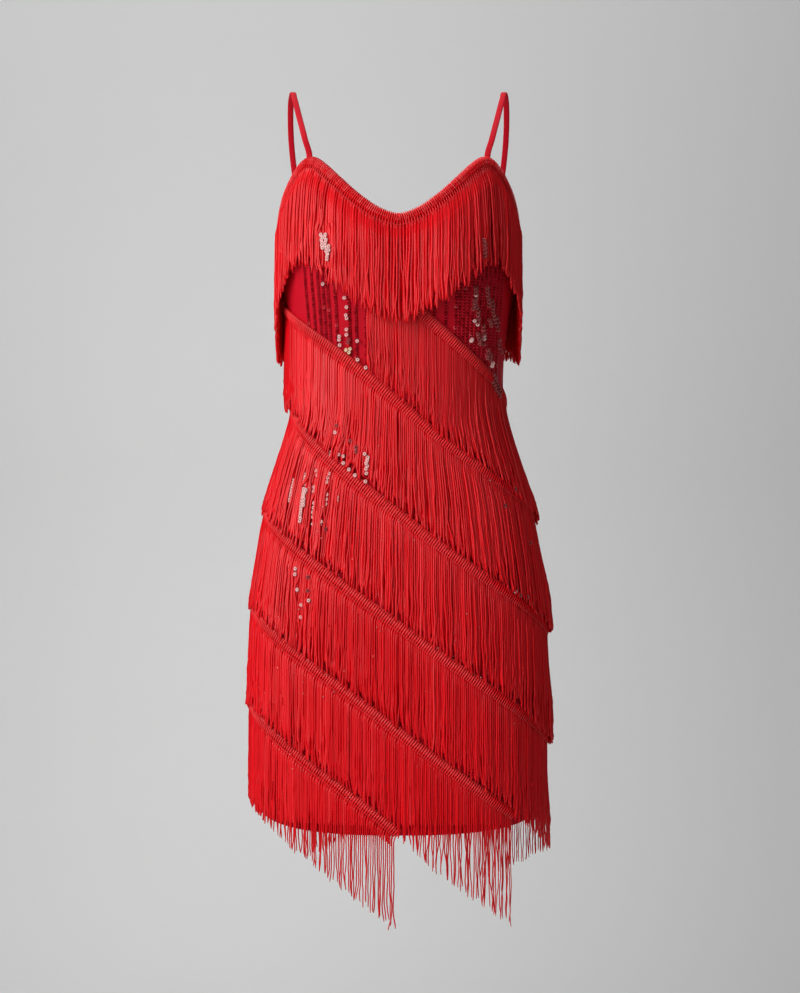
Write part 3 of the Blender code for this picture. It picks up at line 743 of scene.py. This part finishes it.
def parting_push(turns, heights, reach, sway):
    """How far the strands are pushed aside where they part round bright sequins.

    A strand keeps to the side of the parting that it is on at mid height. Its distance s from the
    parting's middle becomes w + 2 s / 3 where s is below 3 w, with w the half width that stays free. Past
    the sequins' ends this fades to nothing. Where partings meet, the widest push holds.
    """
    push = np.zeros(turns.shape)
    level = heights * 1000
    strand = np.arange(len(turns))
    for side, top, end_side, bottom, free in PARTINGS:
        down = np.clip((top - level) / max(top - bottom, 0.1), 0, 1)
        middle = turn_seen((side + (end_side - side) * down) / 1000, heights, 0.004)
        offset = ((turns - middle + 180) % 360 - 180) * reach * 1000 + sway * 1000
        nearest = np.argmin(abs(level - (top + bottom) / 2), axis=1)
        own_side = np.where(offset[strand, nearest] < 0, -1, 1)[:, None]
        own = offset * own_side
        wanted = np.where(own < 3 * free, free + np.maximum(own, 0) * 2 / 3, own)
        open_here = ease((level - bottom + OPEN_PAST) / SOFT + 1) * ease((top + OPEN_PAST - level) / SOFT + 1)
        near = abs(offset[strand, nearest])[:, None] < 3 * free
        found = np.where(near, own_side * (wanted - own) * open_here, 0)
        push = np.where(abs(found) > abs(push), found, push)
    return push / 1000


print("helpers: clump_lean, strand_sway, parting_push")

# %% Paths of a whole band
def strand_paths(middle_of, start, end, over, under):
    """Paths (count, steps, 3), the direction away from the cloth, lengths and radius for one band."""
    kind = EDGE if over else ROW
    pitch, radius = (kind.pitch * UNDER_WIDER, kind.radius * UNDER_THICKER) if under else kind[:2]
    place = band_places(middle_of, start, end, pitch)
    turn, height, reach = place[:3]
    length, looped = strand_lengths(turn, height, over, under)
    along, turns, heights = strand_line(place, length, kind.head)
    hanging, low = ease((along - kind.head - 0.004) / 0.018), ease((along - 0.030) / 0.080)
    out = strand_out(turn, along, heights, kind, radius, hanging, low, over, under)
    paths = on_cloth(turns, heights, out)
    for axis in (0, 1):
        sign = np.sign(paths[:, DRAPE_STEP:DRAPE_STEP + 1, axis])
        hung = sign * paths[:, DRAPE_STEP:, axis]
        paths[:, DRAPE_STEP:, axis] = sign * np.maximum.accumulate(hung, axis=1)
    away = outward(turns, np.maximum(heights, RINGS[0, 0]))
    beside = np.stack([-away[..., 1], away[..., 0], 0 * away[..., 0]], axis=-1)
    sway, depth = strand_sway(along, kind, pitch, hanging, low, under)
    if not under:
        sway += parting_push(turns, heights, reach[:, None], sway) * hanging
    paths += beside * sway[..., None]
    paths += away * depth[..., None]
    twos = paths[:len(looped)].reshape(-1, 2, len(STEPS), 3)
    joined = np.zeros(len(STEPS))
    joined[-len(LOOP_CLOSES):] = LOOP_CLOSES
    drawn = (twos + (twos.mean(axis=1, keepdims=True) - twos) * joined[:, None]).reshape(-1, len(STEPS), 3)
    paths[:len(looped)] = np.where(looped[:, None, None], drawn, paths[:len(looped)])
    return paths, away, along, radius


print("helper: strand_paths")

# %% Strands
# A strand's thickness at lengths from its root, at heights by the hem, and at its tip
ROOT_TAPER = [0, 0.002, 0.012, 0.020], [0.7, 0.92, 0.92, 1.0]
HEM_TAPER = [-0.85, -0.81], [0.52, 1.0]
TIP_TAPER, THICK_SPREAD = 0.55, 0.07
# How pale a strand's yarn is and how that varies, the painted highlight of a row's heading and how
# much of it fades in the shade at +X, and the painted shade on the roots of an edge's fringe under its
# binding
SHADE, SHADE_SPREAD = 0.42, 0.18
HEAD_HIGHLIGHT, HEAD_HIGHLIGHT_FADE, EDGE_ROOT_SHADE = 0.86, 0.36, 0.75


def make_fringe(name, middle_of, start, end, over, under=False):
    """All the strands of a band as one piece: four-sided tubes, thinner at the tip, a painted highlight at a
    heading.
    """
    paths, away, along, radius = strand_paths(middle_of, start, end, over, under)
    count = len(paths)
    thick = rng.normal(1.0, THICK_SPREAD, (count, 1)) * radius
    radii = thick * np.interp(along, *ROOT_TAPER) * np.interp(paths[..., 2], *HEM_TAPER)
    radii[:, -1] *= TIP_TAPER
    shade = np.clip(rng.normal(SHADE, SHADE_SPREAD, count), 0, 0.8)[:, None] + 0 * along
    # An edge's roots get painted shade under the binding. A row's heading gets a painted highlight, which
    # fades towards +X, where the light is weaker
    if over:
        shade *= EDGE_ROOT_SHADE + (1 - EDGE_ROOT_SHADE) * ease((along - 0.012) / 0.022)
    else:
        head_highlight = HEAD_HIGHLIGHT - HEAD_HIGHLIGHT_FADE * ease((paths[..., 0] - 0.08) / 0.06)
        shade += (head_highlight - shade) * ease((ROW.head - along) / 0.003)
    shown = slice(UNDER_STEP if under else 0, None)
    points, quads, caps, uv = sweep(paths[:, shown], radii[:, shown], away[:, shown], SIDES)
    values = {"shade": np.repeat(shade[:, shown], SIDES)}
    return make_piece(name, points, quads, yarn, uv=uv, caps=caps, values=values)


strands, under_strands = {}, {}
for name, band in BANDS.items():
    strands[name] = make_fringe(name + "_strands", *band)
    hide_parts(name)
    under_strands[name] = make_fringe(name + "_under", *band, under=True)
    faces, behind = (len(piece.data.polygons) for piece in (strands[name], under_strands[name]))
    print(f"{name}: {faces // (SIDES * (len(STEPS) - 1) + 2)} strands, {faces} faces, {behind} behind")

# %% [markdown]
# ## Tape and stitching
# The tape under the strands is thin, so it only shows as an edge and as colour between them. Two rows of
# fine stitches hold the strands down. They sink into the soft yarn, so they only show in the dips
# between strands, pale pink with a painted highlight. The binding's ribs have a painted highlight too.

# %% Tape, stitches and binding
TAPE_EDGE, TAPE_SHORT, TAPE_STEP = 0.0005, 0.0006, 0.005
STITCH_OFFSET, STITCH_RISE, THREAD_RADIUS = 0.0050, 0.0002, 0.00028
# One rib of the binding: how far down from the band's top edge, and how far out from the cloth
RIB = np.array([
    [0.0010, -0.0021], [-0.0009, -0.0020], [-0.0018, -0.0004], [-0.0010, 0.0018], [0.0012, 0.0036],
    [0.0030, 0.0027], [0.0048, 0.0036], [0.0064, 0.0027], [0.0068, 0.0012]])
RIB_PITCH, RIB_RADIUS, RIB_SIDES = 0.0025, 0.00085, 5


def along_band(middle_of, start, end, pitch, offset, out):
    """Points that follow a band at a distance offset down across it and out from the cloth."""
    turn, height, reach, slant = band_places(middle_of, start, end, pitch)
    return on_cloth(turn + np.sin(slant) * offset / reach, height - np.cos(slant) * offset, out), turn, height


def make_tape(name, middle_of, start, end):
    """A strip across the band's width, a grid of four lines along it with an edge turned in."""
    half = BAND_WIDTH / 2 - TAPE_SHORT
    lines = [(-half, TAPE_EDGE), (-half, TAPE_TOP), (half, TAPE_TOP), (half, TAPE_EDGE)]
    points = np.stack([along_band(middle_of, start, end, TAPE_STEP, *line)[0] for line in lines])
    count = points.shape[1]
    here = np.arange(4 * count).reshape(4, count)
    there = np.roll(here, -1, axis=0)
    quads = np.stack([here[:, :-1], there[:, :-1], there[:, 1:], here[:, 1:]], axis=-1).reshape(-1, 4)
    caps = np.array([here[::-1, 0], here[:, -1]])
    uv = np.tile([[0, 0], [0.2, 0], [0.2, 0.005], [0, 0.005]], (len(quads), 1))
    values = {"shade": np.full(4 * count, 0.5)}
    return make_piece(name, points.reshape(-1, 3), quads, yarn, uv=uv, caps=caps, values=values)


def make_stitches(name, middle_of, start, end, pitch):
    """Two threads along the band, each rising a little over every strand."""
    paths, aways = [], []
    for offset in (-STITCH_OFFSET, STITCH_OFFSET):
        points, turn, height = along_band(middle_of, start, end, pitch / 2, offset, 0.0)
        rise = STITCH_RISE * np.cos(np.arange(len(turn)) * math.pi)
        aways.append(outward(turn, height))
        paths.append(points + aways[-1] * (TAPE_TOP + 1.5 * ROW.radius + rise)[:, None])
    radii = np.full((2, len(turn)), THREAD_RADIUS)
    points, quads, caps, uv = sweep(np.array(paths), radii, np.array(aways), 4)
    # Shade 1 paints the threads pale pink: a painted highlight
    values = {"shade": np.full(len(points), 1.0)}
    return make_piece(name, points, quads, yarn, uv=uv, caps=caps, values=values)


def make_binding(name, middle_of, start, end):
    """Short ribs over the cloth's edge: each goes up behind it and down the front in two humps."""
    rows = [along_band(middle_of, start, end, RIB_PITCH, down - BAND_WIDTH / 2, out)[0] for down, out in RIB]
    paths = np.stack(rows, axis=1)
    run = np.gradient(paths, axis=0)
    radii = np.full(paths.shape[:2], RIB_RADIUS)
    radii[:, [0, -1]] *= 0.6
    points, quads, caps, uv = sweep(paths, radii, run, RIB_SIDES)
    # The ribs are paler than the strands, between bright red and pale pink: a painted highlight, uneven from
    # rib to rib
    values = {"shade": np.repeat(np.clip(rng.normal(0.76, 0.1, len(paths)), 0, 1), len(RIB) * RIB_SIDES)}
    return make_piece(name, points, quads, yarn, uv=uv, caps=caps, values=values)


sewn = {}
for name, (middle, start, end, over) in BANDS.items():
    tape = make_tape(name + "_tape", middle, start, end)
    stitches = make_stitches(name + "_stitches", middle, start, end, EDGE_PITCH if over else PITCH)
    sewn[name] = [under_strands[name], tape, stitches]
    if over:
        sewn[name].append(make_binding(name + "_binding", middle, start, end))
print(f"{len(sewn)} tapes, {sum(len(pieces[2].data.polygons) for pieces in sewn.values())} stitch faces")

# %% [markdown]
# ## The straps
# A strap is a narrow tube of the same knit, pressed flat. Its path goes from inside the front peak over
# the shoulder to inside the back, and its broad face turns away from the middle of the loop, so that it
# lies flat on the shoulder. The section is a flattened ring carried along the path.

# %% Straps
STRAP_WIDTH, STRAP_THICK, STRAP_LAP = 0.0068, 0.0018, 0.012
STRAP_FRONT_TURN, STRAP_BACK_TURN = 49, 128
# A strap's ends lie this far behind the cloth's face, and its broad face turns away from this point of
# the loop's middle
INSIDE = -0.0036
LOOP_MIDDLE = 0, 0, -0.110
STRAP_STEPS, STRAP_SIDES = 90, 10
OVER_SHOULDER = np.array([
    [0.1048, -0.0680, -0.0630], [0.1124, -0.0440, -0.0340], [0.1185, -0.0220, -0.0105],
    [0.1215, -0.0020, 0.0000], [0.1245, 0.0180, -0.0070], [0.1260, 0.0380, -0.0240],
    [0.1260, 0.0560, -0.0460], [0.1240, 0.0690, -0.0720], [0.1200, 0.0770, -0.1020],
    [0.1150, 0.0790, -0.1400]])


def strap_path(steps):
    """A smooth curve over the shoulder, with a lap inside each panel."""
    front_top = edge_height(FRONT_EDGE, STRAP_FRONT_TURN)
    back_top = edge_height(BACK_EDGE, 180 - STRAP_BACK_TURN)
    lap = np.array([1.0, 0.5, -0.1]) * STRAP_LAP
    front = on_cloth(STRAP_FRONT_TURN, front_top - lap, INSIDE)
    back = on_cloth(STRAP_BACK_TURN, back_top - lap[::-1], INSIDE)
    knots = np.concatenate([front, OVER_SHOULDER, back])
    along = run_lengths(knots)
    at = np.linspace(0, along[-1], steps)
    return np.stack([smooth_through(along, knots[:, k], at) for k in range(3)], axis=1)


def make_strap(name, side):
    """A flattened ring of points along the path: cos a across and sin a away, each squared off."""
    path = strap_path(STRAP_STEPS)
    ahead = unit(np.gradient(path, axis=0))
    away = path * [0, 1, 1] - LOOP_MIDDLE
    away = unit(away - (away * ahead).sum(axis=1, keepdims=True) * ahead)
    across = np.cross(ahead, away)
    angle = np.arange(STRAP_SIDES) * 2 * math.pi / STRAP_SIDES
    wide = np.sign(np.cos(angle)) * abs(np.cos(angle)) ** 0.6 * STRAP_WIDTH / 2
    high = np.sign(np.sin(angle)) * abs(np.sin(angle)) ** 0.8 * STRAP_THICK / 2
    ring = across[:, None] * wide[:, None] + away[:, None] * (high + STRAP_THICK / 2)[:, None]
    points = ((path[:, None] + ring) * [side, 1, 1]).reshape(-1, 3)
    number = np.arange(len(points)).reshape(-1, STRAP_SIDES)
    quads = ring_faces(number[:-1], number[1:])
    caps = np.stack([number[0, ::-1], number[-1]])
    if side < 0:
        quads, caps = quads[:, ::-1], caps[:, ::-1]
    uv = np.stack([points[:, 0], points[:, 2]], axis=-1)[quads.reshape(-1)]
    return make_piece(name, points, quads, knit, uv=uv, caps=caps)


straps = {name: make_strap(name + "_knit", side) for name, side in (("strap_left", 1), ("strap_right", -1))}
for name, piece in straps.items():
    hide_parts(name)
print(f"each strap is {run_lengths(strap_path(STRAP_STEPS))[-1] * 1000:.0f} mm long")

# %% [markdown]
# ## Sequins
# Sequins are threaded in upright lines, one overlapping the next like roof tiles. The lines stand in
# groups with plain knit between. They show where no fringe hangs, and here and there between strands.
# Each one is a small ring, higher round its hole than at its rim, tilted by the one above it.

# %% Sequin lines
SEQUIN_PITCH, SEQUIN_RADIUS, HOLE_RADIUS = 0.0033, 0.0023, 0.0007
# Places of the lines at one height, in mm from the centre, +X to the right of the picture
FRONT_LINES = [-98.5, -91.5, -85, -80, -75, -67.5, -53.5, -46.4, -35.6, -24, -11, 3, 17,
               30, 39, 51, 62, 66, 70.5, 75, 79.5, 84, 88.5, 93, 97.5, 102, 106.5, 111]
BACK_LINES = [-108, -101, -94, -82, -69, -56, -42, -28, -14, 0, 14, 28, 42, 56, 69, 82, 94, 101, 108]
LINES_AT = -0.300
LOWEST, HIGHEST, BELOW_EDGE = -0.800, -0.165, 0.016
# Share of the body's widening that the lines follow, and of its half width that they reach
LINE_SPREAD, LINE_REACH = 0.5, 0.97
# One line in this many goes on under the fringe
LONG_EVERY = 2


def is_bare(turn, height):
    """Whether no strand hangs over a place, given 12 mm of grace at the tips."""
    bare = np.ones(np.broadcast(turn, height).shape, bool)
    for middle_of, start, end, _ in BANDS.values():
        for rounds in (-1, 0, 1, 2):
            crossing = turn + 360 * rounds
            below = middle_of(crossing) - height
            bare &= ~((crossing > start) & (crossing < end) & (below > -0.006) & (below < 0.100))
    return bare


def sequin_places(lines, back):
    """Turns and heights of the sequins on upright lines that spread a little with the body."""
    levels = np.arange(LOWEST, HIGHEST, SEQUIN_PITCH)
    widths = smooth_through(RINGS[:, 0], RINGS[:, 1], levels)
    first_width = smooth_through(RINGS[:, 0], RINGS[:, 1], LINES_AT)
    spread = 1 + LINE_SPREAD * (widths / first_width - 1)
    side = np.array(lines)[:, None] / 1000 * spread
    level = np.broadcast_to(levels, side.shape)
    turn = turn_at(side, level)
    turn = 180 - turn if back else turn
    inside = abs(side) < LINE_REACH * widths
    top = edge_height(BACK_EDGE if back else FRONT_EDGE, turn - (180 if back else 0)) - BELOW_EDGE
    long_line = (np.arange(len(lines)) % LONG_EVERY == 0)[:, None]
    keep = inside & (level < top) & (is_bare(turn, level) | long_line)
    return turn[keep], level[keep]


front_places, back_places = sequin_places(FRONT_LINES, False), sequin_places(BACK_LINES, True)
print(f"{len(FRONT_LINES) + len(BACK_LINES)} lines, {len(front_places[0])} and {len(back_places[0])} sequins")

# %% Making sequins
# One dark sequin in this many has a painted rose glint at its rim
ROSE_EVERY = 45
# Which way a sequin that shines on the front faces: between the camera and the large light
SHINING = -0.36, -0.92, 0.13
# How far the top and the bottom of the hole stand out from the rim
HOLE_TOP, HOLE_BOTTOM = 0.0004, 0.00015
# Sequins of which specks show: how many, how far from the cloth, and how large
SPARKS, SPARK_LIFT, SPARK_RADIUS = 90, 0.0044, 0.0007
DARK = dict(corners=6, lean=12, lift=0.0011, radius=SEQUIN_RADIUS)
SHINY = dict(corners=12, lean=4, radius=0.0024, turned=0.7)
SPECK = dict(corners=6, lean=4, radius=SPARK_RADIUS, turned=0.7, lift=SPARK_LIFT)
# How far off the cloth the shining ones lie. Some are sunk deep between strands, and under the neck's
# fringe, which stands off, they come further forward
BRIGHT_LIFT, SUNK_LIFT, NECK_LIFT, NECK_LEVEL = 0.0046, 0.0031, 0.0098, -0.21
UNEVEN = 0.0005
# The back has one run in this many, below its edge, with a dimmer painted glint, and a little lower
BACK_EVERY, BACK_LEVEL, BACK_DIM, BACK_LOW = 4, -0.225, 0.45, 0.8


def make_sequins(name, places, finish, glint, at_hole, corners, lean, lift, radius, turned=0.0):
    """Rings with a three-sided section: rim, top of the hole and bottom of the hole.

    glint is the colour at the rim: a painted highlight on dark sequins and a painted glint on those that
    shine. at_hole is the share of it that is left at the hole, so the hole gets painted shade. Sequins that
    shine have turned from the cloth to face between the camera and the light, by the share turned.
    """
    turn, level = places
    count = len(turn)
    centre = on_cloth(turn, level, lift)
    away = outward(turn, level)
    shining = np.tile(SHINING, (count, 1))
    shining[:, 1] *= np.where(away[:, 1] < 0, 1, -1)
    away = unit(away * (1 - turned) + shining * turned)
    beside = unit(np.stack([-away[:, 1], away[:, 0], 0 * away[:, 0]], axis=-1))
    upright = np.cross(away, beside)
    tilt = np.radians(rng.normal(lean, lean * 0.4, count))[:, None]
    roll = np.radians(rng.normal(0, 12, count))[:, None]
    rise = upright * np.cos(tilt) - away * np.sin(tilt)
    face = away * np.cos(tilt) + upright * np.sin(tilt)
    face = face * np.cos(roll) + beside * np.sin(roll)
    angle = np.arange(corners) * 2 * math.pi / corners
    ring = np.cos(angle)[:, None] * beside[:, None] + np.sin(angle)[:, None] * rise[:, None]
    rim = centre[:, None] + ring * radius
    hole = min(HOLE_RADIUS, radius / 3)
    top = centre[:, None] + ring * hole + face[:, None] * HOLE_TOP
    bottom = centre[:, None] + ring * hole + face[:, None] * HOLE_BOTTOM
    points = np.stack([rim, top, bottom], axis=1)
    number = np.arange(count * 3 * corners).reshape(count, 3, corners)
    quads = ring_faces(number, np.roll(number, -1, axis=1))
    middle = glint * at_hole
    values = {"glint": np.repeat(np.stack([glint, middle, middle], axis=1), corners)}
    piece = make_piece(name, points.reshape(-1, 3), quads, finish, values=values)
    return piece


counts = BRIGHT[:, 4].astype(int)
run_of = np.repeat(np.arange(len(BRIGHT)), counts)
part = np.concatenate([np.linspace(0, 1, count) for count in counts])
first, last, glints = BRIGHT[run_of, :2], BRIGHT[run_of, 2:4], BRIGHT[run_of, 5]
side, level = ((first + (last - first) * part[:, None]) / 1000).T
side = side + rng.normal(0, UNEVEN, len(side))
bright_lift = np.where(level > NECK_LEVEL, NECK_LIFT, np.where(glints == SUNK, SUNK_LIFT, BRIGHT_LIFT))
bright_places = turn_seen(side, level, bright_lift), level
# A painted glint keeps 0.55 of its value at the hole; a rose one is a painted rim round a dark hole
at_hole = np.where(glints > ROSE, 0.55, 0.0)
behind = (run_of % BACK_EVERY == 1) & (level < BACK_LEVEL)
behind_places = 180 - bright_places[0][behind], level[behind]


def dark_glints(count):
    """Painted highlights at the rims, a red of uneven depth, and now and then a painted rose glint."""
    return np.where(rng.random(count) < 1 / ROSE_EVERY, 1.0, np.where(rng.random(count) < 0.3, 0.3, 0.5))


def spark_places(count, back):
    """Turns and heights of sequins of which only a speck shows between the strands."""
    level = rng.uniform(-0.81, -0.40, count)
    side = (rng.random(count) ** 1.4 * 1.8 - 0.9) * smooth_through(RINGS[:, 0], RINGS[:, 1], level)
    turn = turn_seen(side, level, SPARK_LIFT)
    return (180 - turn if back else turn), level


sparks = spark_places(SPARKS, False), spark_places(SPARKS, True)
# Each speck is a painted glint, rose or pale pink at random
spark_glints = rng.choice([ROSE, PALE], SPARKS)
dark = dark_glints(len(front_places[0])), dark_glints(len(back_places[0]))
sequins = [
    make_sequins("sequins_front", front_places, sequin, dark[0], 0, **DARK),
    make_sequins("sequins_back", back_places, sequin, dark[1], 0, **DARK),
    make_sequins("sequins_bright", bright_places, sequin_painted_glint, glints, at_hole, lift=bright_lift, **SHINY),
    make_sequins("sequins_bright_back", behind_places, sequin_painted_glint, glints[behind] * BACK_DIM,
                 at_hole[behind], lift=bright_lift[behind] * BACK_LOW, **SHINY),
    make_sequins("sequin_specks", sparks[0], sequin_painted_glint, spark_glints, 0.6, **SPECK),
    make_sequins("sequin_specks_back", sparks[1], sequin_painted_glint, spark_glints, 0.6, **SPECK),
]
print(", ".join(f"{piece.name}: {len(piece.data.polygons)} faces" for piece in sequins))

# %% [markdown]
# ## The pieces on the front
# The panels are sheets, stretched on the wearer. Their sizes are those of the cut that shows. The
# pieces that lie on the front are gathered in one list.

front_pieces = [strands["fringe_neck"], *sewn["fringe_neck"], sequins[0], sequins[2], sequins[4]]
front_pieces += [strands[name] for name in SPIRALS] + [piece for name in SPIRALS for piece in sewn[name]]

# %% [markdown]
# ## Studio
# A pale backdrop curves up behind the dress. A large soft light stands at the left of the camera, so the
# left of the dress is bright and its right falls into deep red, and a weak one fills the right.

# %% Backdrop
paper, shader, add, links = new_finish("backdrop_paper", (0.67, 0.67, 0.67), 0.9)
# Behind the dress and beyond the camera's distance, so that the dress can be seen from the back too
WALL, COVE, FLOOR = 3.40, 1.22, -1.60
NEAR, TOP, HALF_WIDTH = -5.0, 4.2, 5.4
angle = np.linspace(0, math.pi / 2, 24)
depth = np.concatenate([[NEAR, WALL - COVE - 0.3], WALL - COVE + COVE * np.sin(angle), [WALL]])
height = np.concatenate([[FLOOR, FLOOR], FLOOR + COVE - COVE * np.cos(angle), [TOP]])
profile = np.stack([0 * depth, depth, height], axis=-1)
points = profile[None] + np.linspace(-HALF_WIDTH, HALF_WIDTH, 9)[:, None, None] * [1, 0, 0]
backdrop = make_piece("backdrop", points.reshape(-1, 3), grid_faces(9, len(depth)), paper)


def area_light(name, place, aim, size, power):
    """A square soft light at place, turned to face aim. The lamp itself doesn't show in the picture."""
    data = bpy.data.lights.new(name, "AREA")
    data.size, data.energy = size, power
    lamp = bpy.data.objects.new(name, data)
    lamp.location = place
    direction = np.array(aim) - np.array(place)
    level = math.hypot(direction[0], direction[1])
    lamp.rotation_euler = (math.atan2(level, -direction[2]), 0, math.atan2(-direction[0], direction[1]))
    lamp.visible_camera = False
    bpy.context.scene.collection.objects.link(lamp)


area_light("key", (-1.32, -1.48, 0.14), (0, 0, -0.40), 1.6, 37)
area_light("fill", (1.6, -2.6, 0.1), (0, 0, -0.45), 1.8, 4.0)
area_light("backdrop_top", (-0.81, 0.69, 3.15), (-0.41, 3.40, -0.30), 3.25, 100)
area_light("backdrop_middle", (-0.35, 1.71, -0.36), (-0.52, 3.40, -0.36), 0.41, 8)
world = bpy.data.worlds.new("studio")
world.use_nodes = True
world.node_tree.nodes["Background"].inputs[0].default_value = (0.92, 0.92, 0.93, 1)
world.node_tree.nodes["Background"].inputs[1].default_value = 0.115
bpy.context.scene.world = world
print("backdrop and four lights")
